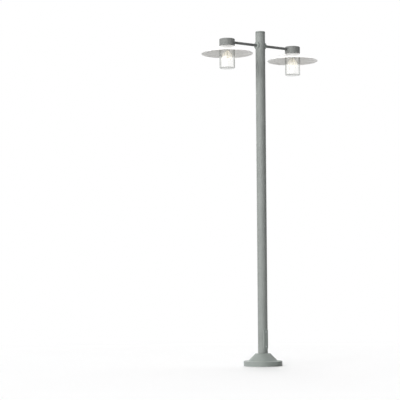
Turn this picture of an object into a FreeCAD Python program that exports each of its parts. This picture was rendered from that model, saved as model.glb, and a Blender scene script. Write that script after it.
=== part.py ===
import FreeCAD, Part
import math
import os
from FreeCAD import Vector

# Twin-headed garden lamp post, in millimetres.
# The origin is on the ground, on the post's axis. +Z is up, the arms lie along X and the
# access door faces -Y. The right lantern is modelled at +X; the left one is the same
# lantern turned half a turn about the post.

# Post
post_height = 2622.0        # ground to the top of the post cap
post_diameter = 76.1
post_wall = 3.0
post_cap_lip = 8.0          # part of the cap that shows above the tube
post_cap_edge_radius = 2.5
post_cap_spigot = 26.0      # part of the cap inside the tube
post_cap_wall = 4.0
post_cap_seal = 2.5         # height of the seal under the lip
post_cap_seal_recess = 2.0  # how far the seal lies behind the tube's surface

# Base flange, welded under the post and bolted to the ground
flange_diameter = 230.0
flange_thickness = 10.0
flange_edge_chamfer = 1.5
anchor_circle = 180.0
anchor_hole = 14.0
anchor_count = 4
cable_entry = 60.0
hub_height = 12.0           # hub that centres the tube on the flange
weld_leg = 5.0              # weld between flange and tube

# Cast cover over the flange
foot_diameter = 300.0
foot_rim_height = 38.0
foot_cone_base = 232.0
foot_cone_top = 118.0
foot_cone_height = 57.0     # rim's top to the upper edge of the cone
foot_crown_rise = 2.0       # fall of the crown from the post to the cone, so that rain runs off
foot_wall = 6.0
foot_rim_radius = 5.0
foot_root_radius = 6.0
foot_crown_radius = 4.0
foot_collar_wall = 11.0
foot_collar_depth = 30.0
foot_bore_clearance = 0.5

# Access door
door_length = 168.0
door_width = 40.0
door_height = 207.0         # ground to the door's middle
door_stand = 3.0            # how far the door's face stands in front of the post
door_edge_radius = 1.2
door_gasket_thickness = 1.4
door_gasket_inset = 2.0     # gasket's edge behind the door's edge
slot_length = 144.0
slot_width = 27.0
plug_clearance = 0.8        # door's plug inside the slot
plug_depth = 8.0            # how far the plug reaches behind the post's surface
plug_pocket_length = 84.0
plug_wall = 3.0
door_screw_spacing = 112.0
bridge_length = 44.0        # clamping bars behind the slot
bridge_height = 18.0
bridge_thickness = 4.0

# Gear inside the post, behind the door
gear_plate_length = 190.0
gear_plate_width = 40.0
gear_plate_thickness = 3.0
gear_plate_corner = 6.0
gear_plate_hole = 8.0       # hanging holes at both ends
gear_plate_hole_inset = 10.0
fuse_box_length = 104.0
fuse_box_width = 34.0
fuse_box_depth = 28.0
fuse_box_edge_radius = 3.0
fuse_box_lid_depth = 9.0
fuse_box_seam = 0.8
fuse_box_entry = 11.0       # diameter of its cable entries
fuse_box_entry_depth = 8.0
earth_stud_drop = 72.0      # below the door's middle
earth_stud_diameter = 6.0
earth_stud_length = 16.0
earth_nut_size = 10.0       # across flats
earth_nut_height = 5.0

# Arms
arm_drop = 112.0            # post's top to the arms' axis
arm_reach = 325.0           # post's axis to lantern's axis
arm_diameter = 21.3         # standard tube
arm_wall = 2.3
boss_diameter = 58.0
boss_stand = 2.0            # boss's face in front of the post
boss_edge_radius = 1.2
washer_diameter = 36.0      # saddle washer inside the post
washer_thickness = 7.0
arm_nut_size = 30.0         # across flats
arm_nut_height = 6.0
arm_nut_stick_out = 3.0     # arm's end past its nut

# Lantern cap
cap_diameter = 121.0
cap_height = 55.0
cap_top_above_arm = 22.0
cap_wall = 4.5
cap_crown = 6.0             # thickness of its top
cap_edge_radius = 6.0
socket_wall = 6.0           # wall of the arm's socket inside the cap
socket_depth = 26.0         # arm inside the cap, from the cap's outside
socket_stop = 4.0           # shoulder behind the arm's end
socket_stop_step = 2.0      # shoulder's height
pillar_diameter = 12.0      # pillars that carry the lampholder's bracket
pillar_length = 12.0
pillar_spacing = 60.0

# Shade and glass
shade_diameter = 400.0
shade_drop = 62.5           # cap's underside to the shade's lower edge
shade_sheet = 1.6           # sheet, measured along the lantern's axis
shade_hem = 9.0             # width of the edge that is folded under
shade_edge_radius = 1.3     # rounding of the folded edge
shade_seat = 123.0          # diameter of the flat seat under the cap
cap_gasket_thickness = 1.5
glass_gasket_thickness = 2.0
gasket_inset = 1.5          # gaskets' edge behind the cap's edge
glass_diameter = 121.0
glass_height = 169.0        # shoulder to underside
glass_wall = 3.5
glass_base = 3.5
glass_base_radius = 5.0
glass_shoulder_radius = 3.0
neck_height = 18.0
neck_clearance = 0.4        # neck inside the cap's mouth

# Lampholder and its bracket
bracket_thickness = 2.0
bracket_width = 26.0
bracket_overhang = 8.0      # bracket's ends past the middle of the pillars
bracket_flange = 7.0        # turned-down edges
holder_height = 54.0
holder_diameter = 41.0
holder_crown_diameter = 30.0
holder_crown_height = 14.0
holder_taper = 7.0
nipple_diameter = 10.0
nipple_bore = 6.0
nipple_depth = 9.0          # thread inside the lampholder
nipple_head_size = 15.0     # across flats
nipple_head_height = 5.0

# Bulb
bulb_diameter = 80.0
bulb_drop = 62.0            # lampholder's rim to the middle of the round part
bulb_neck_diameter = 32.0
bulb_neck_length = 10.0
bulb_glass = 1.0
bulb_base_diameter = 26.4   # screw shell
bulb_base_length = 27.0
bulb_base_tip = 11.0        # diameter of the end contact
bulb_base_taper = 5.0
bulb_base_clearance = 0.5   # shell inside the lampholder
stem_diameter = 6.0
stem_flare_length = 12.0
stem_tip_past = 3.0         # stem's tip below the lower wires
filament_length = 54.0      # height between the upper and the lower wires
filament_diameter = 2.4
filament_count = 4
filament_turn = 10.0        # first filament from the X axis, in degrees
filament_top_circle = 18.0  # filaments stand in a cone that opens downwards
filament_bottom_circle = 60.0
filament_wire = 1.2
filament_top_drop = 20.0    # lampholder's rim to the upper ends of the filaments

# Screws
set_screw_diameter = 6.0
set_screw_length = 9.0
set_screw_key = 3.0
set_screw_setback = 12.0    # arm's set screw from the arm's end
post_cap_screw_drop = 10.0  # below the tube's top
post_cap_screw_length = 9.0
door_screw_diameter = 5.0
door_screw_head = 10.0
door_screw_head_height = 2.8
door_screw_key = 3.0
bracket_screw_diameter = 4.0
bracket_screw_head = 7.0
bracket_screw_head_height = 2.6
bracket_screw_length = 8.0
bracket_screw_key = 2.5

# Fits
seat_gap = 0.1              # between curved faces that seat on each other
thread_gap = 0.1            # round a screw in its thread
pass_gap = 0.3              # round a piece that passes through a hole
key_depth = 2.0

# Levels and radii that several pieces share
post_radius = post_diameter / 2
post_inner = post_radius - post_wall
tube_top = post_height - post_cap_lip - post_cap_seal
spigot_radius = post_inner - pass_gap
arm_height = post_height - arm_drop
arm_radius = arm_diameter / 2
washer_face = post_inner - washer_thickness
arm_inner_end = washer_face - arm_nut_height - arm_nut_stick_out
cap_radius = cap_diameter / 2
cap_bottom = arm_height + cap_top_above_arm - cap_height
cap_ceiling = cap_bottom + cap_height - cap_crown
cap_inner = cap_radius - cap_wall
arm_outer_end = arm_reach - cap_radius + socket_depth
shade_top = cap_bottom - cap_gasket_thickness
shoulder_level = shade_top - shade_sheet - glass_gasket_thickness
glass_radius = glass_diameter / 2
neck_radius = cap_inner - neck_clearance
bracket_top = cap_ceiling - pillar_length
holder_top = bracket_top - bracket_thickness
holder_rim = holder_top - holder_height
bulb_middle = holder_rim - bulb_drop
door_face = post_radius + door_stand
door_saddle = post_radius + door_gasket_thickness
lantern = Vector(arm_reach, 0, 0)
up = Vector(0, 0, 1)
written = []


# Shapes that the pieces are made of

def rounded_face(corners):
    # Face in the XZ plane through (x, z, radius) corners, each rounded by its own radius.
    edges = []
    points = [Vector(x, 0, z) for x, z, radius in corners]
    ends = []
    for i, (x, z, radius) in enumerate(corners):
        here = points[i]
        before = (points[i - 1] - here).normalize()
        after = (points[(i + 1) % len(points)] - here).normalize()
        half = before.getAngle(after) / 2
        reach = radius / math.tan(half)
        middle = here
        if radius:
            inward = (before + after).normalize()
            middle = here + inward * (radius / math.sin(half) - radius)
        ends.append((here + before * reach, middle, here + after * reach))
    for i, (start, middle, end) in enumerate(ends):
        if corners[i][2]:
            edges.append(Part.Arc(start, middle, end).toShape())
        edges.append(Part.LineSegment(end, ends[(i + 1) % len(ends)][0]).toShape())
    return Part.Face(Part.Wire(edges))


def turned(corners):
    return rounded_face(corners).revolve(Vector(0, 0, 0), up, 360)


def ring(outer, inner, bottom, top):
    return turned([(inner, bottom, 0), (outer, bottom, 0), (outer, top, 0), (inner, top, 0)])


def bar(radius, start, end):
    return Part.makeCylinder(radius, (end - start).Length, start, end - start)


def hex_bar(size, start, end):
    corners = polar(6, 0, size / math.sqrt(3), 0)
    outline = Part.makePolygon(corners + corners[:1])
    prism = Part.Face(outline).extrude(up * (end - start).Length)
    prism.Placement = FreeCAD.Placement(start, FreeCAD.Rotation(up, end - start))
    return prism


def block(x_size, y_size, z_size, centre):
    corner = centre - Vector(x_size, y_size, z_size) / 2
    return Part.makeBox(x_size, y_size, z_size, corner)


def obround(width, length, front, depth):
    # Upright obround prism on the door's middle, from y = -front inwards.
    radius = width / 2
    rise = length / 2 - radius
    top = Vector(0, -front, door_height + rise)
    bottom = Vector(0, -front, door_height - rise)
    side = Vector(radius, 0, 0)
    outline = Part.Wire([
        Part.Arc(top + side, top + up * radius, top - side).toShape(),
        Part.LineSegment(top - side, bottom - side).toShape(),
        Part.Arc(bottom - side, bottom - up * radius, bottom + side).toShape(),
        Part.LineSegment(bottom + side, top + side).toShape(),
    ])
    return Part.Face(outline).extrude(Vector(0, depth, 0))


def post_core(radius):
    return Part.makeCylinder(radius, post_height, Vector(0, 0, 0), up)


def set_screw(tip, direction, diameter, length):
    # Headless screw with a hexagon socket, its tip at the given point.
    tail = tip + direction * length
    return bar(diameter / 2, tip, tail).cut(hex_bar(set_screw_key, tail - direction * key_depth, tail))


def polar(count, start_angle, radius, height):
    angles = [math.radians(start_angle + 360 * i / count) for i in range(count)]
    return [Vector(radius * math.cos(a), radius * math.sin(a), height) for a in angles]


def round_edges(shape, radius, chosen):
    return shape.makeFillet(radius, [edge for edge in shape.Edges if chosen(edge)])


# Writing the pieces

def write(name, *solids):
    shape = solids[0] if len(solids) == 1 else Part.makeCompound(list(solids))
    shape.exportStep(os.path.join("parts", name + ".step"))
    written.append(name)
    print(f"{name}: {len(shape.Solids)} solids, {shape.Volume / 1000:.2f} cm3, valid {shape.isValid()}")


def half_turn(shape):
    other = shape.copy()
    other.rotate(Vector(0, 0, 0), up, 180)
    return other


def write_both_sides(name, shape):
    write("right_" + name, shape)
    write("left_" + name, half_turn(shape))


# Post

def post_tube():
    tube = ring(post_radius, post_inner, flange_thickness, tube_top)
    slot = obround(slot_width, slot_length, door_face, door_face)
    arm_hole = bar(arm_radius + pass_gap, on_arm(-post_diameter), on_arm(post_diameter))
    screw_level = tube_top - post_cap_screw_drop
    screw_radius = set_screw_diameter / 2 + pass_gap
    screw_hole = bar(screw_radius, Vector(0, 0, screw_level), Vector(0, post_diameter, screw_level))
    return tube.cut(slot).cut(arm_hole).cut(screw_hole)


def post_cap():
    seat = post_height - post_cap_lip
    bottom = tube_top - post_cap_spigot
    hollow = spigot_radius - post_cap_wall
    cap = turned([
        (0, post_height, 0),
        (post_radius, post_height, post_cap_edge_radius),
        (post_radius, seat, 0),
        (spigot_radius, seat, 0),
        (spigot_radius, bottom, 0),
        (hollow, bottom, 0),
        (hollow, post_height - post_cap_wall, 0),
        (0, post_height - post_cap_wall, 0),
    ])
    screw_level = tube_top - post_cap_screw_drop
    screw_radius = set_screw_diameter / 2 + thread_gap
    return cap.cut(bar(screw_radius, Vector(0, 0, screw_level), Vector(0, post_diameter, screw_level)))


def post_cap_seal_ring():
    outer = post_radius - post_cap_seal_recess
    return ring(outer, spigot_radius + seat_gap, tube_top, tube_top + post_cap_seal)


def post_cap_screw():
    tip = Vector(0, post_radius - post_cap_screw_length, tube_top - post_cap_screw_drop)
    return set_screw(tip, Vector(0, 1, 0), set_screw_diameter, post_cap_screw_length)


# Foot

def base_flange():
    radius = flange_diameter / 2
    entry = cable_entry / 2
    hub = post_inner - seat_gap
    weld = post_radius + seat_gap
    disc = turned([
        (entry, 0, 0),
        (radius, 0, 0),
        (radius, flange_thickness - flange_edge_chamfer, 0),
        (radius - flange_edge_chamfer, flange_thickness, 0),
        (weld + weld_leg, flange_thickness, 0),
        (weld, flange_thickness + weld_leg, 0),
        (weld, flange_thickness, 0),
        (hub, flange_thickness, 0),
        (hub, flange_thickness + hub_height, 0),
        (entry, flange_thickness + hub_height, 0),
    ])
    for place in polar(anchor_count, 45, anchor_circle / 2, 0):
        disc = disc.cut(bar(anchor_hole / 2, place, place + up * flange_thickness))
    return disc


def foot_cover():
    rim = foot_diameter / 2
    bore = post_radius + foot_bore_clearance
    collar = bore + foot_collar_wall
    crown = foot_rim_height + foot_cone_height
    cone_angle = math.atan2(foot_cone_height, (foot_cone_base - foot_cone_top) / 2)
    # Offsets that keep the cone's wall as thick as the rest where it meets a level face.
    inset = foot_wall * math.tan(cone_angle / 2)
    shell = turned([
        (rim, 0, 0),
        (rim, foot_rim_height, foot_rim_radius),
        (foot_cone_base / 2, foot_rim_height, foot_root_radius),
        (foot_cone_top / 2, crown, foot_crown_radius),
        (bore, crown + foot_crown_rise, 0),
        (bore, crown - foot_collar_depth, 0),
        (collar, crown - foot_collar_depth, 0),
        (collar, crown - foot_wall, 0),
        (foot_cone_top / 2 - inset, crown - foot_wall, 0),
        (foot_cone_base / 2 - inset, foot_rim_height - foot_wall, 0),
        (rim - foot_wall, foot_rim_height - foot_wall, 0),
        (rim - foot_wall, 0, 0),
    ])
    level = cover_screw_level()
    screw_radius = set_screw_diameter / 2 + thread_gap
    return shell.cut(bar(screw_radius, Vector(0, 0, level), Vector(0, rim, level)))


def cover_screw_level():
    return foot_rim_height + foot_cone_height - foot_wall - (foot_collar_depth - foot_wall) / 2


def foot_cover_screw():
    tip = Vector(0, post_radius + seat_gap, cover_screw_level())
    return set_screw(tip, Vector(0, 1, 0), set_screw_diameter, set_screw_length)


# Access door

def door_screw_axes():
    return [Vector(0, 0, door_height + side * door_screw_spacing / 2) for side in (1, -1)]


def bridge_face():
    # Depth at which the clamping bars' ends meet the inside of the tube.
    return math.sqrt((post_inner - seat_gap) ** 2 - (bridge_length / 2) ** 2)


def access_door():
    front = Vector(0, -door_face, 0)
    face = round_edges(
        obround(door_width, door_length, door_face, door_face),
        door_edge_radius,
        lambda edge: edge.BoundBox.YMax < -door_face + seat_gap,
    )
    skirt = face.cut(post_core(door_saddle))
    plug_width = slot_width - 2 * plug_clearance
    plug_length = slot_length - 2 * plug_clearance
    plug = obround(plug_width, plug_length, door_saddle, door_saddle - post_radius + plug_depth)
    pocket = obround(plug_width - 2 * plug_wall, plug_pocket_length, post_radius, plug_depth)
    door = skirt.fuse(plug.cut(pocket)).removeSplitter()
    head_radius = door_screw_head / 2 + pass_gap
    hole_radius = door_screw_diameter / 2 + pass_gap
    for axis in door_screw_axes():
        sink = Part.makeCone(
            head_radius, hole_radius, door_screw_head_height, front + axis, Vector(0, 1, 0)
        )
        door = door.cut(sink).cut(bar(hole_radius, front + axis, axis))
    return door


def door_gasket():
    sheet = post_core(door_saddle - seat_gap).cut(post_core(post_radius + seat_gap))
    width = door_width - 2 * door_gasket_inset
    length = door_length - 2 * door_gasket_inset
    outside = obround(width, length, door_face, door_face)
    inside = obround(slot_width, slot_length, door_face, door_face)
    return sheet.common(outside).cut(inside)


def door_bridge(axis):
    centre = axis - Vector(0, bridge_face() - bridge_thickness / 2, 0)
    plate = block(bridge_length, bridge_thickness, bridge_height, centre)
    return plate.cut(bar(door_screw_diameter / 2 + thread_gap, axis - Vector(0, post_diameter, 0), axis))


def door_screw(axis):
    inward = Vector(0, 1, 0)
    head = axis - inward * door_face
    tip = axis - inward * (bridge_face() - bridge_thickness)
    cone = Part.makeCone(
        door_screw_head / 2, door_screw_diameter / 2, door_screw_head_height, head, inward
    )
    screw = cone.fuse(bar(door_screw_diameter / 2, head, tip)).removeSplitter()
    return screw.cut(hex_bar(door_screw_key, head, head + inward * key_depth))


# Gear inside the post

def gear_plate_back():
    # Depth at which the plate's long edges meet the inside of the tube.
    return math.sqrt((post_inner - seat_gap) ** 2 - (gear_plate_width / 2) ** 2)


def gear_plate_front():
    return gear_plate_back() - gear_plate_thickness


def gear_plate():
    back = gear_plate_back()
    middle = Vector(0, back - gear_plate_thickness / 2, door_height)
    plate = round_edges(
        block(gear_plate_width, gear_plate_thickness, gear_plate_length, middle),
        gear_plate_corner,
        lambda edge: edge.BoundBox.XLength < seat_gap and edge.BoundBox.ZLength < seat_gap,
    )
    for end in (1, -1):
        level = door_height + end * (gear_plate_length / 2 - gear_plate_hole_inset)
        hole = bar(gear_plate_hole / 2, Vector(0, gear_plate_front(), level), Vector(0, back, level))
        plate = plate.cut(hole)
    return plate


def fuse_box():
    front = gear_plate_front() - fuse_box_depth
    middle = Vector(0, front + fuse_box_depth / 2, door_height)
    body = round_edges(
        block(fuse_box_width, fuse_box_depth, fuse_box_length, middle),
        fuse_box_edge_radius,
        lambda edge: edge.BoundBox.YMax < front + fuse_box_depth - seat_gap,
    )
    # Seam between the lid and the box
    seam_at = Vector(0, front + fuse_box_lid_depth, door_height)
    outer = block(fuse_box_width, fuse_box_seam, fuse_box_length, seam_at)
    core = block(
        fuse_box_width - 2 * fuse_box_seam, fuse_box_seam, fuse_box_length - 2 * fuse_box_seam, seam_at
    )
    body = body.cut(outer.cut(core))
    half = fuse_box_length / 2
    depth = front + (fuse_box_lid_depth + fuse_box_depth) / 2
    for x in (-fuse_box_width / 4, fuse_box_width / 4):
        for end in (1, -1):
            mouth = Vector(x, depth, door_height + end * half)
            body = body.cut(bar(fuse_box_entry / 2, mouth, mouth - up * (end * fuse_box_entry_depth)))
    return body


def earth_foot():
    return Vector(0, gear_plate_front(), door_height - earth_stud_drop)


def earth_stud():
    return bar(earth_stud_diameter / 2, earth_foot(), earth_foot() - Vector(0, earth_stud_length, 0))


def earth_nut():
    end = earth_foot() - Vector(0, earth_nut_height, 0)
    thread = bar(earth_stud_diameter / 2 + thread_gap, earth_foot(), end)
    return hex_bar(earth_nut_size, earth_foot(), end).cut(thread)


# Arms, made for the right side

def on_arm(x):
    return Vector(x, 0, arm_height)


def arm_tube():
    outside = bar(arm_radius, on_arm(arm_inner_end), on_arm(arm_outer_end))
    return outside.cut(bar(arm_radius - arm_wall, on_arm(arm_inner_end), on_arm(arm_outer_end)))


def arm_boss():
    face = post_radius + boss_stand
    disc = round_edges(
        bar(boss_diameter / 2, on_arm(0), on_arm(face)),
        boss_edge_radius,
        lambda edge: edge.BoundBox.XMin > face - seat_gap,
    )
    saddle = disc.cut(post_core(post_radius + seat_gap))
    return saddle.cut(bar(arm_radius + thread_gap, on_arm(0), on_arm(face)))


def arm_washer():
    disc = bar(washer_diameter / 2, on_arm(washer_face), on_arm(post_radius))
    seat = disc.common(post_core(post_inner - seat_gap))
    return seat.cut(bar(arm_radius + pass_gap, on_arm(0), on_arm(post_radius)))


def arm_nut():
    back = on_arm(washer_face - arm_nut_height)
    thread = bar(arm_radius + thread_gap, back, on_arm(washer_face))
    return hex_bar(arm_nut_size, back, on_arm(washer_face)).cut(thread)


def arm_set_screw():
    tip = on_arm(arm_outer_end - set_screw_setback) - up * (arm_radius + seat_gap)
    return set_screw(tip, Vector(0, 0, -1), set_screw_diameter, set_screw_length)


# Lantern, made round its own axis and then moved to the right arm's end

def at_lantern(shape):
    return shape.translated(lantern)


def pillar_places():
    return [Vector(0, side * pillar_spacing / 2, 0) for side in (1, -1)]


def lantern_cap():
    top = cap_ceiling + cap_crown
    cup = turned([
        (0, top, 0),
        (cap_radius, top, cap_edge_radius),
        (cap_radius, cap_bottom, 0),
        (cap_inner, cap_bottom, 0),
        (cap_inner, cap_ceiling, 0),
        (0, cap_ceiling, 0),
    ])
    # The arm's socket is a round boss that runs in from the wall, with a shoulder at its end.
    outer_face = on_arm(-cap_radius)
    arm_end = on_arm(arm_outer_end - arm_reach)
    socket_end = arm_end + Vector(socket_stop, 0, 0)
    inside = Part.makeCylinder(cap_inner + cap_wall / 2, cap_height, up * cap_bottom, up)
    socket = bar(arm_radius + socket_wall, outer_face, socket_end).common(inside)
    cup = cup.fuse(socket)
    for place in pillar_places():
        root = place + up * (cap_ceiling + cap_crown / 2)
        cup = cup.fuse(bar(pillar_diameter / 2, place + up * bracket_top, root))
    cup = cup.removeSplitter()
    cup = cup.cut(bar(arm_radius + seat_gap, outer_face, arm_end))
    cup = cup.cut(bar(arm_radius - socket_stop_step, outer_face, socket_end))
    for place in pillar_places():
        thread = bracket_screw_diameter / 2 + thread_gap
        cup = cup.cut(bar(thread, place + up * bracket_top, place + up * cap_ceiling))
    screw_top = arm_end - Vector(set_screw_setback, 0, 0)
    screw_bottom = screw_top - up * (arm_radius + 2 * socket_wall)
    return cup.cut(bar(set_screw_diameter / 2 + thread_gap, screw_top, screw_bottom))


def cap_gasket():
    return ring(cap_radius - gasket_inset, neck_radius + neck_clearance, shade_top, cap_bottom)


def shade():
    edge = shade_diameter / 2
    rim = cap_bottom - shade_drop
    seat = shade_seat / 2
    # Upper side of the cone falls from the seat to the edge, two sheets above the rim.
    slope = (shade_top - rim - 2 * shade_sheet) / (edge - seat)
    hem_start = edge - shade_hem
    hem_level = shade_top - slope * (hem_start - seat)
    return turned([
        (neck_radius + neck_clearance, shade_top, 0),
        (seat, shade_top, 0),
        (edge, rim + 2 * shade_sheet, shade_edge_radius),
        (edge, rim, shade_edge_radius),
        (hem_start, hem_level - 2 * shade_sheet, 0),
        (hem_start, hem_level - shade_sheet, 0),
        (seat, shade_top - shade_sheet, 0),
        (neck_radius + neck_clearance, shade_top - shade_sheet, 0),
    ])


def glass_gasket():
    return ring(
        glass_radius - gasket_inset,
        neck_radius + neck_clearance,
        shoulder_level,
        shoulder_level + glass_gasket_thickness,
    )


def glass():
    bottom = shoulder_level - glass_height
    neck_top = shoulder_level + neck_height
    neck_inner = neck_radius - glass_wall
    inner = glass_radius - glass_wall
    shoulder_inside = shoulder_level - glass_wall
    return turned([
        (0, bottom, 0),
        (glass_radius, bottom, glass_base_radius),
        (glass_radius, shoulder_level, glass_shoulder_radius),
        (neck_radius, shoulder_level, 0),
        (neck_radius, neck_top, 0),
        (neck_inner, neck_top, 0),
        (neck_inner, shoulder_inside, 0),
        (inner, shoulder_inside - (inner - neck_inner), 0),
        (inner, bottom + glass_base, glass_base_radius - glass_wall),
        (0, bottom + glass_base, 0),
    ])


def lampholder_bracket():
    length = pillar_spacing + 2 * bracket_overhang
    middle = Vector(0, 0, bracket_top - bracket_thickness / 2)
    plate = block(bracket_width, length, bracket_thickness, middle)
    for side in (1, -1):
        x = side * (bracket_width - bracket_thickness) / 2
        low = Vector(x, 0, bracket_top - bracket_flange / 2)
        plate = plate.fuse(block(bracket_thickness, length, bracket_flange, low))
    plate = plate.removeSplitter()
    # The middle of the turned-down edges is cut away round the lampholder.
    room = bar(holder_crown_diameter / 2 + pass_gap, up * holder_rim, up * holder_top)
    plate = plate.cut(room)
    plate = plate.cut(bar(nipple_diameter / 2 + pass_gap, up * holder_top, up * bracket_top))
    for place in pillar_places():
        hole = bracket_screw_diameter / 2 + pass_gap
        plate = plate.cut(bar(hole, place + up * holder_top, place + up * bracket_top))
    return plate


def lampholder_nipple():
    # Hollow bolt through the bracket: a hexagon head above it and a thread in the lampholder.
    end = holder_top - nipple_depth
    head = hex_bar(nipple_head_size, up * bracket_top, up * (bracket_top + nipple_head_height))
    shank = bar(nipple_diameter / 2, up * end, up * bracket_top)
    wireway = bar(nipple_bore / 2, up * end, up * (bracket_top + nipple_head_height))
    return head.fuse(shank).cut(wireway)


def lampholder():
    outer = holder_diameter / 2
    crown = holder_crown_diameter / 2
    crown_level = holder_top - holder_crown_height
    shell = bulb_base_diameter / 2 + bulb_base_clearance
    return turned([
        (nipple_diameter / 2 + thread_gap, holder_top, 0),
        (crown, holder_top, 0),
        (crown, crown_level, 0),
        (outer, crown_level - holder_taper, 0),
        (outer, holder_rim, 0),
        (shell, holder_rim, 0),
        (shell, holder_rim + bulb_base_length, 0),
        (nipple_diameter / 2 + thread_gap, holder_rim + bulb_base_length, 0),
    ])


def bulb_base():
    outer = bulb_base_diameter / 2
    tip = bulb_base_tip / 2
    top = holder_rim + bulb_base_length
    return turned([
        (0, top, 0),
        (tip, top, 0),
        (outer, top - bulb_base_taper, 0),
        (outer, holder_rim, 0),
        (0, holder_rim, 0),
    ])


def bulb_outline(shrink):
    # Neck, straight flank and round end of the bulb, as edges from the neck to the axis.
    neck = bulb_neck_diameter / 2 - shrink
    radius = bulb_diameter / 2 - shrink
    neck_end = Vector(neck, 0, holder_rim - bulb_neck_length)
    centre = Vector(0, 0, bulb_middle)
    lean = math.atan2(neck, neck_end.z - bulb_middle)
    touch_angle = lean + math.acos(radius / (neck_end - centre).Length)
    half_way = (touch_angle + math.pi) / 2
    touch = centre + Vector(math.sin(touch_angle), 0, math.cos(touch_angle)) * radius
    middle = centre + Vector(math.sin(half_way), 0, math.cos(half_way)) * radius
    pole = centre - up * radius
    start = Vector(neck, 0, holder_rim)
    edges = [
        Part.LineSegment(start, neck_end).toShape(),
        Part.LineSegment(neck_end, touch).toShape(),
        Part.Arc(touch, middle, pole).toShape(),
    ]
    return edges, start, pole


def bulb_envelope():
    outer, outer_start, outer_pole = bulb_outline(0)
    inner, inner_start, inner_pole = bulb_outline(bulb_glass)
    edges = outer + [Part.LineSegment(outer_pole, inner_pole).toShape()]
    edges += inner[::-1] + [Part.LineSegment(inner_start, outer_start).toShape()]
    return Part.Face(Part.Wire(edges)).revolve(Vector(0, 0, 0), up, 360)


def filament_levels():
    top = holder_rim - filament_top_drop
    return top, top - filament_length


def bulb_stem():
    # Glass stem with a flared foot in the bulb's neck, and the wires that carry the filaments.
    flare = bulb_neck_diameter / 2 - bulb_glass - seat_gap
    radius = stem_diameter / 2
    top, bottom = filament_levels()
    tip = bottom - filament_wire - stem_tip_past
    stem = turned([
        (0, holder_rim, 0),
        (flare, holder_rim, 0),
        (radius, holder_rim - stem_flare_length, 0),
        (radius, tip, 0),
        (0, tip, 0),
    ])
    upper = (top + filament_wire / 2, filament_top_circle)
    lower = (bottom - filament_wire / 2, filament_bottom_circle)
    for level, circle in (upper, lower):
        for place in polar(filament_count, filament_turn, (circle + filament_diameter) / 2, level):
            stem = stem.fuse(bar(filament_wire / 2, Vector(0, 0, level), place))
    return stem


def bulb_filaments():
    # Slanted rods, run past both ends and trimmed level with the wires that carry them.
    top, bottom = filament_levels()
    between = Part.makeCylinder(bulb_diameter / 2, filament_length, up * bottom, up)
    highs = polar(filament_count, filament_turn, filament_top_circle / 2, top)
    lows = polar(filament_count, filament_turn, filament_bottom_circle / 2, bottom)
    rods = []
    for high, low in zip(highs, lows):
        past = (high - low).normalize() * filament_diameter
        rods.append(bar(filament_diameter / 2, high + past, low - past).common(between))
    return rods


def bracket_screw(place):
    under = place + up * holder_top
    head = bar(bracket_screw_head / 2, under - up * bracket_screw_head_height, under)
    shank = bar(bracket_screw_diameter / 2, under, under + up * bracket_screw_length)
    bottom = under - up * bracket_screw_head_height
    return head.fuse(shank).cut(hex_bar(bracket_screw_key, bottom, under))


os.makedirs("parts", exist_ok=True)

write("base_flange", base_flange())
write("post_tube", post_tube())
write("foot_cover", foot_cover())
write("foot_cover_screw", foot_cover_screw())
write("post_cap", post_cap())
write("post_cap_seal", post_cap_seal_ring())
write("post_cap_screw", post_cap_screw())

write("access_door", access_door())
write("door_gasket", door_gasket())
write("door_bridges", *[door_bridge(axis) for axis in door_screw_axes()])
write("door_screws", *[door_screw(axis) for axis in door_screw_axes()])

write("gear_plate", gear_plate())
write("fuse_box", fuse_box())
write("earth_stud", earth_stud())
write("earth_nut", earth_nut())

write_both_sides("arm", arm_tube())
write_both_sides("arm_boss", arm_boss())
write_both_sides("arm_washer", arm_washer())
write_both_sides("arm_nut", arm_nut())
write("arm_set_screws", arm_set_screw(), half_turn(arm_set_screw()))

lantern_pieces = {
    "lantern_cap": lantern_cap,
    "cap_gasket": cap_gasket,
    "shade": shade,
    "glass_gasket": glass_gasket,
    "glass": glass,
    "lampholder_bracket": lampholder_bracket,
    "lampholder_nipple": lampholder_nipple,
    "lampholder": lampholder,
    "bulb_base": bulb_base,
    "bulb_envelope": bulb_envelope,
    "bulb_stem": bulb_stem,
}
for name, make in lantern_pieces.items():
    write_both_sides(name, at_lantern(make()))
write_both_sides("bulb_filaments", Part.makeCompound([at_lantern(rod) for rod in bulb_filaments()]))
bracket_screws = [at_lantern(bracket_screw(place)) for place in pillar_places()]
write("bracket_screws", *bracket_screws, *[half_turn(screw) for screw in bracket_screws])

print(len(written), "pieces")
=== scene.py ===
import bpy
import bmesh
import math
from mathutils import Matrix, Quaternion, Vector


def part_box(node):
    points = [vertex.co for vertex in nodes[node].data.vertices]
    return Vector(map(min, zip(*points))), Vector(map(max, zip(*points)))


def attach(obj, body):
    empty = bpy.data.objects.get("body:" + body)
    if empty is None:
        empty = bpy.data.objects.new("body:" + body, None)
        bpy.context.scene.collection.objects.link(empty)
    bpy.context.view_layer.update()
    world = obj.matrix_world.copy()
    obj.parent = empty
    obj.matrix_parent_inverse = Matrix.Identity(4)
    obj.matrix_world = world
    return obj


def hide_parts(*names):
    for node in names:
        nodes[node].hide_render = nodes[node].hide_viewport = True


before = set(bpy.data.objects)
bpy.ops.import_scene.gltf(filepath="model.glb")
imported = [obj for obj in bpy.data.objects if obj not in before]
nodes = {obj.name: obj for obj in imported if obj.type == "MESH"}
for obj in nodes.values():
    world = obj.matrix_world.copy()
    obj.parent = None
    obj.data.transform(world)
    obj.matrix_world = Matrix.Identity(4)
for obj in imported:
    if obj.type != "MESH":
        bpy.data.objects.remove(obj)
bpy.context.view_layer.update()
sides = ("right", "left")
mm = 0.001
print("lamp post: frame loaded,", len(nodes), "nodes")


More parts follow.
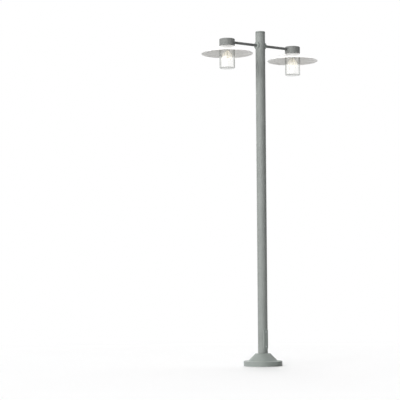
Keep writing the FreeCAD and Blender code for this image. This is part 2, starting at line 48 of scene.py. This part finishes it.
# Colours are written as sRGB hex and turned to the linear values that shaders take
def linear(hexColour):
    channels = [int(hexColour[i:i + 2], 16) / 255 for i in (1, 3, 5)]
    return [c / 12.92 if c <= 0.04045 else ((c + 0.055) / 1.055) ** 2.4 for c in channels] + [1.0]


# Adds one node; a value that is a socket is linked, anything else is set
def addNode(tree, kind, inputs=None, **settings):
    node = tree.nodes.new(kind)
    for name, value in settings.items():
        setattr(node, name, value)
    for name, value in (inputs or {}).items():
        if isinstance(value, bpy.types.NodeSocket):
            tree.links.new(value, node.inputs[name])
        else:
            node.inputs[name].default_value = value
    return node


# Node tree of a new material or world, emptied
def emptyTree(owner):
    owner.use_nodes = True
    owner.node_tree.nodes.clear()
    return owner.node_tree


# Starts a material; spot is the place on the piece, which all patterns follow
def newMaterial(name):
    material = bpy.data.materials.new(name)
    tree = emptyTree(material)
    shader = addNode(tree, "ShaderNodeBsdfPrincipled")
    addNode(tree, "ShaderNodeOutputMaterial", {"Surface": shader.outputs[0]})
    spot = addNode(tree, "ShaderNodeTexCoord").outputs["Object"]
    return material, tree, shader, spot


# What all the finishes below share: how clouds and grain break up, and where tone and gloss change
finishPattern = {"cloudDetail": 3.0, "cloudRoughness": 0.55, "toneFrom": 0.35, "toneTo": 0.65,
                 "grainDetail": 2.0, "grainRoughness": 0.5, "grainDepth": 0.25,
                 "glossFrom": 0.3, "glossTo": 0.7}


# Painted, cast, plated and moulded finishes: two tones in clouds or crystals, fine relief, uneven gloss
def surfaceFinish(name, look):
    material, tree, shader, spot = newMaterial(name)
    if "crystalMm" in look:
        cells = addNode(tree, "ShaderNodeTexVoronoi", {
            "Vector": spot, "Scale": 1 / (look["crystalMm"] * mm)})
        channels = addNode(tree, "ShaderNodeSeparateColor", {"Color": cells.outputs["Color"]})
        tones = channels.outputs["Red"]
    else:
        clouds = addNode(tree, "ShaderNodeTexNoise", {
            "Vector": spot, "Scale": 1 / (look["cloudMm"] * mm),
            "Detail": finishPattern["cloudDetail"], "Roughness": finishPattern["cloudRoughness"]})
        tones = clouds.outputs["Fac"]
    ramp = addNode(tree, "ShaderNodeValToRGB", {"Fac": tones})
    dark, light = ramp.color_ramp.elements
    dark.position, light.position = finishPattern["toneFrom"], finishPattern["toneTo"]
    dark.color, light.color = linear(look["dark"]), linear(look["light"])
    tree.links.new(ramp.outputs["Color"], shader.inputs["Base Color"])
    grain = addNode(tree, "ShaderNodeTexNoise", {
        "Vector": spot, "Scale": 1 / (look["grainMm"] * mm),
        "Detail": finishPattern["grainDetail"], "Roughness": finishPattern["grainRoughness"]})
    bump = addNode(tree, "ShaderNodeBump", {
        "Height": grain.outputs["Fac"], "Strength": look["relief"],
        "Distance": look["grainMm"] * mm * finishPattern["grainDepth"]})
    tree.links.new(bump.outputs["Normal"], shader.inputs["Normal"])
    gloss = addNode(tree, "ShaderNodeMapRange", {
        "Value": tones, "From Min": finishPattern["glossFrom"], "From Max": finishPattern["glossTo"],
        "To Min": look["roughness"] - look["unevenness"],
        "To Max": look["roughness"] + look["unevenness"]})
    tree.links.new(gloss.outputs["Result"], shader.inputs["Roughness"])
    for key, socket in (("metallic", "Metallic"), ("specular", "Specular IOR Level")):
        if key in look:
            shader.inputs[socket].default_value = look[key]
    return material


# Polyester powder coat on steel tube: sprayed and baked, so a satin skin with slight orange peel
tubeCoat = surfaceFinish("satin powder coat on steel tube", {
    "dark": "#888C89", "light": "#909491", "cloudMm": 160, "grainMm": 3.0, "relief": 0.06,
    "roughness": 0.32, "unevenness": 0.03, "specular": 0.12})
# The same coat over sand-cast aluminium: the casting's skin shows, drawn coarser than sand to be seen
castCoat = surfaceFinish("satin powder coat on cast aluminium", {
    "dark": "#8F9591", "light": "#979D99", "cloudMm": 90, "grainMm": 4.5, "relief": 0.12,
    "roughness": 0.38, "unevenness": 0.04, "specular": 0.12})
# The lantern caps' coat: less green than the post's, and darker as painted shade against the light the
# white shades throw up onto them
shadedCapCoat = surfaceFinish("satin powder coat on lantern caps", {
    "dark": "#797B79", "light": "#818381", "cloudMm": 70, "grainMm": 4.5, "relief": 0.1,
    "roughness": 0.34, "unevenness": 0.03, "specular": 0.12})
# The arms' coat: darker still, which is painted shade standing in for the shade on their undersides, and as
# smooth as the tube's
shadedArmCoat = surfaceFinish("satin powder coat on arms, darkened as painted shade", {
    "dark": "#646665", "light": "#6C6E6D", "cloudMm": 70, "grainMm": 3.0, "relief": 0.06,
    "roughness": 0.34, "unevenness": 0.03, "specular": 0.12})
# Stoved white enamel on spun aluminium: hard, even and half glossy
shadeEnamel = surfaceFinish("stoved white enamel", {
    "dark": "#F2F1EE", "light": "#F6F5F2", "cloudMm": 120, "grainMm": 5.0, "relief": 0.06,
    "roughness": 0.4, "unevenness": 0.03})
# Moulded EPDM rubber: black, dull, faintly mottled
sealRubber = surfaceFinish("moulded EPDM rubber", {
    "dark": "#161616", "light": "#1F1F1E", "cloudMm": 8, "grainMm": 0.8, "relief": 0.3,
    "roughness": 0.75, "unevenness": 0.05})
# Glazed porcelain of the lampholder: white with a clear gloss
holderPorcelain = surfaceFinish("glazed porcelain", {
    "dark": "#E6E3DA", "light": "#EEEBE3", "cloudMm": 20, "grainMm": 6.0, "relief": 0.05,
    "roughness": 0.12, "unevenness": 0.03})
# Moulded polycarbonate of the fuse box: dark grey with a fine spark texture
boxPlastic = surfaceFinish("moulded polycarbonate", {
    "dark": "#3C3E40", "light": "#434547", "cloudMm": 30, "grainMm": 1.0, "relief": 0.35,
    "roughness": 0.55, "unevenness": 0.05})
# Hot-dip galvanised steel: grey metal broken up in pale zinc crystals
galvanised = surfaceFinish("hot-dip galvanised steel", {
    "dark": "#8B9093", "light": "#B4B8BA", "crystalMm": 7, "grainMm": 4.0, "relief": 0.1,
    "roughness": 0.42, "unevenness": 0.1, "metallic": 1.0})
# Bright zinc plating on turned screws: bluish, thin, a little uneven
zincPlated = surfaceFinish("bright zinc plated steel", {
    "dark": "#A5AAB0", "light": "#C0C3C6", "cloudMm": 4, "grainMm": 0.6, "relief": 0.08,
    "roughness": 0.3, "unevenness": 0.06, "metallic": 1.0})
# Turned brass of the hollow bolts: yellow, with a fine unevenness that the tool leaves
turnedBrass = surfaceFinish("turned brass", {
    "dark": "#B08A47", "light": "#C59F58", "cloudMm": 6, "grainMm": 0.5, "relief": 0.1,
    "roughness": 0.3, "unevenness": 0.06, "metallic": 1.0})
# Nickel plate on the lamp's rolled brass shell and on its wires: warm, bright metal
nickelPlate = surfaceFinish("nickel plated brass", {
    "dark": "#BDB8AC", "light": "#CFCABE", "cloudMm": 5, "grainMm": 0.6, "relief": 0.06,
    "roughness": 0.22, "unevenness": 0.05, "metallic": 1.0})


# What all the glasses share
glassPattern = {"edgeBlend": 0.5, "waveDetail": 1.0, "waveDepth": 0.05}


# Clear glass: bright seen through, with painted grey shade where one looks along a wall; glow is a haze
# that fades upwards
def clearGlass(name, look):
    material, tree, shader, spot = newMaterial(name)
    # Painted shade: grey mixed into the glass's colour by viewing angle stands in for the darker
    # surroundings seen along its walls
    slant = addNode(tree, "ShaderNodeLayerWeight", {"Blend": glassPattern["edgeBlend"]})
    ramp = addNode(tree, "ShaderNodeValToRGB", {"Fac": slant.outputs["Facing"]})
    through, shadedAlong = ramp.color_ramp.elements
    through.position, shadedAlong.position = look["edgeFrom"], look["edgeTo"]
    through.color, shadedAlong.color = linear(look["tint"]), linear(look["edgeShade"])
    tree.links.new(ramp.outputs["Color"], shader.inputs["Base Color"])
    shader.inputs["Transmission Weight"].default_value = 1.0
    shader.inputs["IOR"].default_value = look["ior"]
    waves = addNode(tree, "ShaderNodeTexNoise", {
        "Vector": spot, "Scale": 1 / (look["waveMm"] * mm), "Detail": glassPattern["waveDetail"]})
    bump = addNode(tree, "ShaderNodeBump", {
        "Height": waves.outputs["Fac"], "Strength": look["wave"],
        "Distance": look["waveMm"] * mm * glassPattern["waveDepth"]})
    tree.links.new(bump.outputs["Normal"], shader.inputs["Normal"])
    gloss = addNode(tree, "ShaderNodeMapRange", {"Value": waves.outputs["Fac"], "To Max": look["haze"]})
    tree.links.new(gloss.outputs["Result"], shader.inputs["Roughness"])
    if "glow" in look:
        level = addNode(tree, "ShaderNodeSeparateXYZ", {"Vector": spot}).outputs["Z"]
        fade = addNode(tree, "ShaderNodeMapRange", {
            "Value": level, "From Min": look["glowTop"] * mm, "From Max": look["glowFull"] * mm,
            "To Max": look["glow"]})
        shader.inputs["Emission Color"].default_value = linear(look["glowTint"])
        tree.links.new(fade.outputs["Result"], shader.inputs["Emission Strength"])
    return material


# Pressed borosilicate of the tumblers: clear, slow waves, with painted grey shade along its walls and base
tumblerGlass = clearGlass("pressed borosilicate glass", {
    "tint": "#FDFDFC", "edgeShade": "#8A8E88", "edgeFrom": 0.3, "edgeTo": 0.85,
    "ior": 1.48, "waveMm": 40, "wave": 0.02, "haze": 0.03})
# Blown soda-lime of the bulbs, lit from inside: a faint warm haze that starts just below the neck's top
# and is full at the globe's middle
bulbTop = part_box("right_bulb_envelope")[1].z / mm
bulbGlass = clearGlass("blown bulb glass", {
    "tint": "#FFFFFF", "edgeShade": "#F4F1E6", "edgeFrom": 0.5, "edgeTo": 0.95,
    "ior": 1.45, "waveMm": 25, "wave": 0.05, "haze": 0.02,
    "glow": 0.08, "glowTint": "#FFF6E0", "glowTop": bulbTop - 8.0, "glowFull": bulbTop - 58.0})
# Pressed glass of the stems: thick and faintly grey-green, with painted shade along their walls, so they
# show inside the bulbs
stemGlass = clearGlass("pressed stem glass", {
    "tint": "#F4F4EA", "edgeShade": "#D2D4C4", "edgeFrom": 0.2, "edgeTo": 0.8,
    "ior": 1.5, "waveMm": 10, "wave": 0.1, "haze": 0.1})


# Phosphor coat on the filaments' chips: dull and grainy, and lit, so nearly white
def litPhosphor(name, look):
    material, tree, shader, spot = newMaterial(name)
    shader.inputs["Base Color"].default_value = linear(look["coat"])
    shader.inputs["Roughness"].default_value = look["roughness"]
    grains = addNode(tree, "ShaderNodeTexNoise", {
        "Vector": spot, "Scale": 1 / (look["grainMm"] * mm), "Detail": look["grainDetail"]})
    ramp = addNode(tree, "ShaderNodeValToRGB", {"Fac": grains.outputs["Fac"]})
    dark, light = ramp.color_ramp.elements
    dark.color, light.color = linear(look["glowDark"]), linear(look["glowLight"])
    tree.links.new(ramp.outputs["Color"], shader.inputs["Emission Color"])
    shader.inputs["Emission Strength"].default_value = look["glow"]
    return material


filamentPhosphor = litPhosphor("lit phosphor coat", {
    "coat": "#F5EEDC", "roughness": 0.6, "grainMm": 1.0, "grainDetail": 2.0,
    "glow": 0.3, "glowDark": "#FFF5E0", "glowLight": "#FFFBF2"})
print("lamp post: materials made")


# Gives nodes from the frame their finish
def dress(names, material):
    for name in names:
        mesh = nodes[name].data
        mesh.materials.clear()
        mesh.materials.append(material)


def onBothSides(*names):
    return [side + "_" + name for side in sides for name in names]


dress(["post_tube"], tubeCoat)
dress(["foot_cover", "post_cap", "access_door", *onBothSides("arm_boss")], castCoat)
dress(onBothSides("lantern_cap"), shadedCapCoat)
dress(onBothSides("arm"), shadedArmCoat)
dress(onBothSides("bulb_base"), nickelPlate)
dress(onBothSides("lampholder_nipple"), turnedBrass)
dress(onBothSides("lampholder"), holderPorcelain)
dress(["post_cap_seal", "door_gasket", *onBothSides("cap_gasket", "glass_gasket")], sealRubber)
dress(["base_flange", "gear_plate", *onBothSides("lampholder_bracket")], galvanised)
dress(["foot_cover_screw", "post_cap_screw", "door_bridges", "door_screws", "earth_stud", "earth_nut",
       "arm_set_screws", "bracket_screws", *onBothSides("arm_washer", "arm_nut")], zincPlated)
dress(["fuse_box"], boxPlastic)
print("lamp post: nodes dressed")


# A node's upright axis, its radius and its lowest and highest level, the last three in millimetres
def turnedSize(node):
    low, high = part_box(node)
    axis = Vector(((low.x + high.x) / 2, (low.y + high.y) / 2, 0))
    return axis, (high.x - low.x) / 2 / mm, low.z / mm, high.z / mm


# Points of a profile through (radius, level, rounding) corners in millimetres
def roundedProfile(corners, arcSteps):
    points = []
    for i, (radius, level, rounding) in enumerate(corners):
        here = Vector((radius, level))
        if rounding == 0:
            points.append(here)
            continue
        before = (Vector(corners[i - 1][:2]) - here).normalized()
        after = (Vector(corners[(i + 1) % len(corners)][:2]) - here).normalized()
        half = before.angle(after) / 2
        centre = here + (before + after).normalized() * rounding / math.sin(half)
        start = here + before * rounding / math.tan(half) - centre
        end = here + after * rounding / math.tan(half) - centre
        turns = [start.slerp(end, step / arcSteps).normalized() for step in range(arcSteps + 1)]
        points += [centre + turn * rounding for turn in turns]
    return points


sharpAngle = math.radians(35)  # steeper corners stay sharp
mergeGap = 0.001 * mm  # closes the spin's seam and its poles


# Makes a piece of a mesh, shaded smooth between its sharp corners
def smoothPiece(name, mesh):
    mesh.polygons.foreach_set("use_smooth", [True] * len(mesh.polygons))
    mesh.set_sharp_from_angle(angle=sharpAngle)
    piece = bpy.data.objects.new(name, mesh)
    bpy.context.scene.collection.objects.link(piece)
    return piece


# Spins a profile about an upright axis into a smooth closed shell
def spunPiece(name, profile, axis, segments):
    shape = bmesh.new()
    ring = [shape.verts.new((radius * mm, 0, level * mm)) for radius, level in profile]
    pairs = [(ring[i - 1], ring[i]) for i in range(len(ring))]
    edges = [shape.edges.new(pair) for pair in pairs if pair[0].co.x or pair[1].co.x]
    bmesh.ops.spin(shape, geom=ring + edges, cent=(0, 0, 0), axis=(0, 0, 1), angle=math.tau, steps=segments)
    bmesh.ops.remove_doubles(shape, verts=shape.verts, dist=mergeGap)
    bmesh.ops.recalc_face_normals(shape, faces=shape.faces)
    bmesh.ops.translate(shape, verts=shape.verts, vec=axis)
    mesh = bpy.data.meshes.new(name)
    shape.to_mesh(mesh)
    shape.free()
    return smoothPiece(name, mesh)


# Gives a new piece its finish and lets it stand for its node
def standIn(piece, material, slot, *replacedNodes):
    piece.data.materials.clear()
    piece.data.materials.append(material)
    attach(piece, "root")
    if replacedNodes:
        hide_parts(*replacedNodes)


# Shades: spun aluminium cones with a flat seat and an edge folded under; the edge's rounding lifts its
# lowest point by edgeRise
shadeShape = {"sheet": 1.6, "hem": 9.0, "edgeRounding": 1.3, "edgeRise": 0.65, "seatRadius": 61.5,
              "boreRadius": 56.0, "arcSteps": 5, "segments": 160}
for side in sides:
    axis, edge, lowest, top = turnedSize(side + "_shade")
    rim = lowest - shadeShape["edgeRise"]
    sheet, seat, bore = shadeShape["sheet"], shadeShape["seatRadius"], shadeShape["boreRadius"]
    rounding = shadeShape["edgeRounding"]
    slope = (top - rim - 2 * sheet) / (edge - seat)
    hemStart = edge - shadeShape["hem"]
    hemLevel = top - slope * (hemStart - seat)
    profile = roundedProfile([
        (bore, top, 0), (seat, top, 0),
        (edge, rim + 2 * sheet, rounding), (edge, rim, rounding),
        (hemStart, hemLevel - 2 * sheet, 0), (hemStart, hemLevel - sheet, 0),
        (seat, top - sheet, 0), (bore, top - sheet, 0)], shadeShape["arcSteps"])
    shade = spunPiece(side + "_spun_shade", profile, axis, shadeShape["segments"])
    standIn(shade, shadeEnamel, "white_enamel", side + "_shade")
print("lamp post: shades spun")

# Glasses: pressed tumblers with a shoulder under the shade and a neck inside the cap
tumblerShape = {"wall": 3.5, "base": 3.5, "baseRounding": 5.0, "shoulderRounding": 3.0,
                "neckRadius": 55.6, "neckHeight": 18.0, "arcSteps": 10, "segments": 160}
for side in sides:
    axis, radius, bottom, neckTop = turnedSize(side + "_glass")
    wall, neck = tumblerShape["wall"], tumblerShape["neckRadius"]
    floorLevel, shoulder = bottom + tumblerShape["base"], neckTop - tumblerShape["neckHeight"]
    profile = roundedProfile([
        (0, bottom, 0), (radius, bottom, tumblerShape["baseRounding"]),
        (radius, shoulder, tumblerShape["shoulderRounding"]), (neck, shoulder, 0),
        (neck, neckTop, 0), (neck - wall, neckTop, 0),
        (neck - wall, shoulder - wall, 0), (radius - wall, shoulder - wall - (radius - neck), 0),
        (radius - wall, floorLevel, tumblerShape["baseRounding"] - wall), (0, floorLevel, 0)],
        tumblerShape["arcSteps"])
    tumbler = spunPiece(side + "_pressed_glass", profile, axis, tumblerShape["segments"])
    standIn(tumbler, tumblerGlass, "clear_glass", side + "_glass")
    tumbler.visible_shadow = False  # light goes straight through clear glass, here and in the bulbs
print("lamp post: glasses pressed")

# Bulbs: blown globes on a straight neck
bulbShape = {"glass": 1.0, "neckRadius": 16.0, "neckLength": 10.0, "arcSteps": 28, "segments": 96}


# Neck, straight flank and round end of one wall of the bulb, from the neck's top to the pole
def bulbWall(neck, radius, middle, top):
    neckEnd = Vector((neck, top - bulbShape["neckLength"]))
    centre = Vector((0, middle))
    lean = math.atan2(neckEnd.x, neckEnd.y - middle)
    touch = lean + math.acos(radius / (neckEnd - centre).length)
    steps = bulbShape["arcSteps"]
    turns = [touch + (math.pi - touch) * step / steps for step in range(steps)]
    arc = [centre + radius * Vector((math.sin(turn), math.cos(turn))) for turn in turns]
    return [Vector((neck, top)), neckEnd] + arc + [Vector((0, middle - radius))]


for side in sides:
    axis, radius, bottom, top = turnedSize(side + "_bulb_envelope")
    middle = bottom + radius
    neck, glass = bulbShape["neckRadius"], bulbShape["glass"]
    outer = bulbWall(neck, radius, middle, top)
    inner = bulbWall(neck - glass, radius - glass, middle, top)
    globe = spunPiece(side + "_blown_bulb", outer + inner[::-1], axis, bulbShape["segments"])
    standIn(globe, bulbGlass, "bulb_glass", side + "_bulb_envelope")
    globe.visible_shadow = False
print("lamp post: bulbs blown")


# Starts a Geometry Nodes tree with named inputs
def newTree(name, inputs):
    tree = bpy.data.node_groups.new(name, "GeometryNodeTree")
    for label, kind in inputs.items():
        tree.interface.new_socket(label, in_out="INPUT", socket_type="NodeSocket" + kind)
    tree.interface.new_socket("Geometry", in_out="OUTPUT", socket_type="NodeSocketGeometry")
    return tree, addNode(tree, "NodeGroupInput").outputs


# Ends a tree: one strand's shape is copied round the bulb's axis and becomes plain mesh with its finish
def endTree(tree, given, shape):
    spots = addNode(tree, "GeometryNodePoints", {"Count": given["Strands"]})
    step = addNode(tree, "ShaderNodeMath", {0: math.tau, 1: given["Strands"]}, operation="DIVIDE")
    index = addNode(tree, "GeometryNodeInputIndex").outputs[0]
    angle = addNode(tree, "ShaderNodeMath", {
        0: index, 1: step.outputs[0], 2: given["Turn"]}, operation="MULTIPLY_ADD")
    rotation = addNode(tree, "ShaderNodeCombineXYZ", {"Z": angle.outputs[0]})
    copies = addNode(tree, "GeometryNodeInstanceOnPoints", {
        "Points": spots.outputs[0], "Instance": shape, "Rotation": rotation.outputs[0]})
    onAxis = addNode(tree, "GeometryNodeTransform", {
        "Geometry": copies.outputs[0], "Translation": given["Axis"]})
    real = addNode(tree, "GeometryNodeRealizeInstances", {0: onAxis.outputs[0]})
    finished = addNode(tree, "GeometryNodeSetMaterial", {0: real.outputs[0], "Material": given["Finish"]})
    addNode(tree, "NodeGroupOutput", {0: finished.outputs[0]})


# Runs a tree on an empty mesh and keeps what it makes as a plain mesh
def grownPiece(name, tree, values):
    start = bpy.data.objects.new(name + "_start", bpy.data.meshes.new(name + "_start"))
    bpy.context.scene.collection.objects.link(start)
    modifier = start.modifiers.new("shape", "NODES")
    modifier.node_group = tree
    for socket in tree.interface.items_tree:
        if socket.in_out == "INPUT":
            modifier[socket.identifier] = values[socket.name]
    evaluated = start.evaluated_get(bpy.context.evaluated_depsgraph_get())
    mesh = bpy.data.meshes.new_from_object(evaluated)
    start.modifiers.remove(modifier)
    bpy.data.objects.remove(start)
    mesh.name = name
    return smoothPiece(name, mesh)


# Filaments: rods in a cone that opens downwards, each with a row of coated chips, on wires from the stem
cage = {"Strands": 4, "Turn": math.radians(10), "Top Radius": 9.0, "Bottom Radius": 30.0,
        "Rod Radius": 0.9, "Chips": 30, "Chip Radius": 1.2, "Wire Radius": 0.6, "Start Radius": 1.5}
cageFineness = {"rodSides": 10, "wireSides": 8, "chipSubdivisions": 2}
cageInputs = {"Strands": "Int", "Turn": "Float", "Top Radius": "Float", "Bottom Radius": "Float",
              "Top Level": "Float", "Bottom Level": "Float", "Axis": "Vector", "Finish": "Material"}


# One rod from its upper to its lower end, with its chips
def filamentTree():
    tree, given = newTree("filament cage", {
        **cageInputs, "Rod Radius": "Float", "Chips": "Int", "Chip Radius": "Float"})
    upper = addNode(tree, "ShaderNodeCombineXYZ", {"X": given["Top Radius"], "Z": given["Top Level"]})
    lower = addNode(tree, "ShaderNodeCombineXYZ", {"X": given["Bottom Radius"], "Z": given["Bottom Level"]})
    line = addNode(tree, "GeometryNodeCurvePrimitiveLine", {
        "Start": upper.outputs[0], "End": lower.outputs[0]})
    section = addNode(tree, "GeometryNodeCurvePrimitiveCircle", {
        "Resolution": cageFineness["rodSides"], "Radius": given["Rod Radius"]})
    rod = addNode(tree, "GeometryNodeCurveToMesh", {
        "Curve": line.outputs[0], "Profile Curve": section.outputs[0], "Fill Caps": True})
    spots = addNode(tree, "GeometryNodeCurveToPoints", {"Curve": line.outputs[0], "Count": given["Chips"]})
    chip = addNode(tree, "GeometryNodeMeshIcoSphere", {
        "Radius": given["Chip Radius"], "Subdivisions": cageFineness["chipSubdivisions"]})
    chips = addNode(tree, "GeometryNodeInstanceOnPoints", {
        "Points": spots.outputs[0], "Instance": chip.outputs[0]})
    strand = addNode(tree, "GeometryNodeJoinGeometry", {0: rod.outputs[0]})
    tree.links.new(chips.outputs[0], strand.inputs[0])
    endTree(tree, given, strand.outputs[0])
    return tree


# The two wires of one rod, from inside the stem to its upper and its lower end
def wireTree():
    tree, given = newTree("filament wires", {
        **cageInputs, "Wire Radius": "Float", "Start Radius": "Float"})
    section = addNode(tree, "GeometryNodeCurvePrimitiveCircle", {
        "Resolution": cageFineness["wireSides"], "Radius": given["Wire Radius"]})
    wires = addNode(tree, "GeometryNodeJoinGeometry")
    for end in ("Top", "Bottom"):
        level = given[end + " Level"]
        inStem = addNode(tree, "ShaderNodeCombineXYZ", {"X": given["Start Radius"], "Z": level})
        atRod = addNode(tree, "ShaderNodeCombineXYZ", {"X": given[end + " Radius"], "Z": level})
        line = addNode(tree, "GeometryNodeCurvePrimitiveLine", {
            "Start": inStem.outputs[0], "End": atRod.outputs[0]})
        wire = addNode(tree, "GeometryNodeCurveToMesh", {
            "Curve": line.outputs[0], "Profile Curve": section.outputs[0], "Fill Caps": True})
        tree.links.new(wire.outputs[0], wires.inputs[0])
    endTree(tree, given, wires.outputs[0])
    return tree


filaments, filamentWires = filamentTree(), wireTree()
# Stems: pressed glass rods with a flared foot in the bulb's neck, made with the filaments they carry
stemShape = {"radius": 3.0, "flareLength": 12.0, "neckGap": 1.1, "segments": 32}
for side in sides:
    axis, _, bottom, top = turnedSize(side + "_bulb_filaments")
    inMetres = {key: value * mm if key.endswith("Radius") else value for key, value in cage.items()}
    inMetres.update({"Top Level": top * mm, "Bottom Level": bottom * mm, "Axis": axis})
    strands = grownPiece(side + "_filament_strands", filaments, {**inMetres, "Finish": filamentPhosphor})
    standIn(strands, filamentPhosphor, "led_filament", side + "_bulb_filaments")
    wires = grownPiece(side + "_filament_wires", filamentWires, {**inMetres, "Finish": nickelPlate})
    standIn(wires, nickelPlate, "nickelled_brass")
    axis, _, tip, top = turnedSize(side + "_bulb_stem")
    flare, radius = bulbShape["neckRadius"] - stemShape["neckGap"], stemShape["radius"]
    profile = [(0, top), (flare, top), (radius, top - stemShape["flareLength"]), (radius, tip), (0, tip)]
    stem = spunPiece(side + "_pressed_stem", profile, axis, stemShape["segments"])
    standIn(stem, stemGlass, "bulb_glass", side + "_bulb_stem")
    stem.visible_shadow = False
print("lamp post: filaments and stems made")

# Lit lamps: a small warm light inside each bulb
bulbLight = {"watts": 0.06, "tint": "#FFF6EA", "radius": 20.0}
for side in sides:
    axis, _, bottom, top = turnedSize(side + "_bulb_filaments")
    lamp = bpy.data.lights.new(side + " bulb light", "POINT")
    lamp.energy, lamp.shadow_soft_size = bulbLight["watts"], bulbLight["radius"] * mm
    lamp.color = linear(bulbLight["tint"])[:3]
    holder = bpy.data.objects.new(side + " bulb light", lamp)
    holder.location = axis + Vector((0, 0, (bottom + top) / 2 * mm))
    holder.visible_camera = holder.visible_glossy = holder.visible_transmission = False
    bpy.context.scene.collection.objects.link(holder)

# Studio: pale floor that fades to a white surround away from the foot; two broad soft lights on the left,
# one high and one low behind; sizes in metres, angles in degrees
studio = {
    "surroundTint": "#FFFFFF", "ambientTint": "#F4F7FF", "ambient": 0.01,
    "floorSize": 60.0, "floorTint": "#F4F4F4", "bounceTint": "#B6B6B6", "fadeFrom": 0.5, "fadeTo": 4.0,
    "lamps": {
        "key light": {"strength": 2.25, "azimuth": -56.0, "elevation": 10.0, "angle": 55.0, "shine": True},
        "left light": {"strength": 2.3, "azimuth": -92.0, "elevation": 15.0, "angle": 60.0, "shine": True},
        "back light": {"strength": 1.9, "azimuth": 137.0, "elevation": 57.0, "angle": 60.0, "shine": True},
        "low light": {"strength": 2.8, "azimuth": 145.0, "elevation": 14.0, "angle": 35.0, "shine": False},
    },
}


# 1 for rays that should see a white surround, 0 for the light that falls on the object
def seesSurround(tree):
    path = addNode(tree, "ShaderNodeLightPath").outputs
    sees = path["Is Camera Ray"]
    for ray in ("Is Glossy Ray", "Is Transmission Ray"):
        sees = addNode(tree, "ShaderNodeMath", {0: sees, 1: path[ray]}, operation="MAXIMUM").outputs[0]
    return sees


world = bpy.data.worlds.new("studio surround")
bpy.context.scene.world = world
tree = emptyTree(world)
around = addNode(tree, "ShaderNodeBackground", {
    "Color": linear(studio["ambientTint"]), "Strength": studio["ambient"]})
white = addNode(tree, "ShaderNodeBackground", {"Color": linear(studio["surroundTint"]), "Strength": 1.0})
shown = addNode(tree, "ShaderNodeMixShader", {
    0: seesSurround(tree), 1: around.outputs[0], 2: white.outputs[0]})
addNode(tree, "ShaderNodeOutputWorld", {"Surface": shown.outputs[0]})

floorMesh = bpy.data.meshes.new("studio floor")
half = studio["floorSize"] / 2
floorMesh.from_pydata(
    [(-half, -half, 0), (half, -half, 0), (half, half, 0), (-half, half, 0)], [], [(0, 1, 2, 3)])
floor = bpy.data.objects.new("studio floor", floorMesh)
bpy.context.scene.collection.objects.link(floor)
material = bpy.data.materials.new("matt white studio floor")
tree = emptyTree(material)
bounce = addNode(tree, "ShaderNodeBsdfDiffuse", {"Color": linear(studio["bounceTint"])})
matt = addNode(tree, "ShaderNodeBsdfDiffuse", {"Color": linear(studio["floorTint"])})
white = addNode(tree, "ShaderNodeEmission", {"Color": linear(studio["surroundTint"]), "Strength": 1.0})
spot = addNode(tree, "ShaderNodeTexCoord").outputs["Object"]
distance = addNode(tree, "ShaderNodeVectorMath", {0: spot}, operation="LENGTH")
fade = addNode(tree, "ShaderNodeMapRange", {
    "Value": distance.outputs["Value"], "From Min": studio["fadeFrom"], "From Max": studio["fadeTo"]})
faded = addNode(tree, "ShaderNodeMixShader", {
    0: fade.outputs["Result"], 1: matt.outputs[0], 2: white.outputs[0]})
shown = addNode(tree, "ShaderNodeMixShader", {
    0: seesSurround(tree), 1: bounce.outputs[0], 2: faded.outputs[0]})
addNode(tree, "ShaderNodeOutputMaterial", {"Surface": shown.outputs[0]})
floorMesh.materials.append(material)

for name, look in studio["lamps"].items():
    lamp = bpy.data.lights.new(name, "SUN")
    lamp.energy, lamp.angle = look["strength"], math.radians(look["angle"])
    holder = bpy.data.objects.new(name, lamp)
    azimuth, elevation = math.radians(look["azimuth"]), math.radians(look["elevation"])
    outward = math.cos(elevation)
    towards = Vector((math.sin(azimuth) * outward, -math.cos(azimuth) * outward, math.sin(elevation)))
    holder.rotation_euler = towards.to_track_quat("Z", "Y").to_euler()
    holder.visible_glossy = look["shine"]
    holder.visible_transmission = False  # lamps are out of sight behind the glass
    bpy.context.scene.collection.objects.link(holder)
print("lamp post: studio lit")

# Camera where the photograph was taken from: metres, degrees, and millimetres for lens and sensor
shot = {"place": (-6.3773, -8.2341, 0.6544), "forward": (0.57392, 0.81661, 0.06134), "roll": -0.336,
        "lens": 119.73, "sensor": 36.0, "clipEnd": 200.0}
lens = bpy.data.cameras.new("camera")
lens.lens, lens.sensor_width, lens.clip_end = shot["lens"], shot["sensor"], shot["clipEnd"]
camera = bpy.data.objects.new("camera", lens)
camera.location = shot["place"]
camera.rotation_mode = "QUATERNION"
aim = Vector(shot["forward"]).to_track_quat("-Z", "Y")
camera.rotation_quaternion = aim @ Quaternion((0, 0, 1), math.radians(shot["roll"]))
bpy.context.scene.collection.objects.link(camera)
bpy.context.scene.camera = camera
bpy.context.scene.view_settings.view_transform = "Standard"

print("lamp post: scene ready")
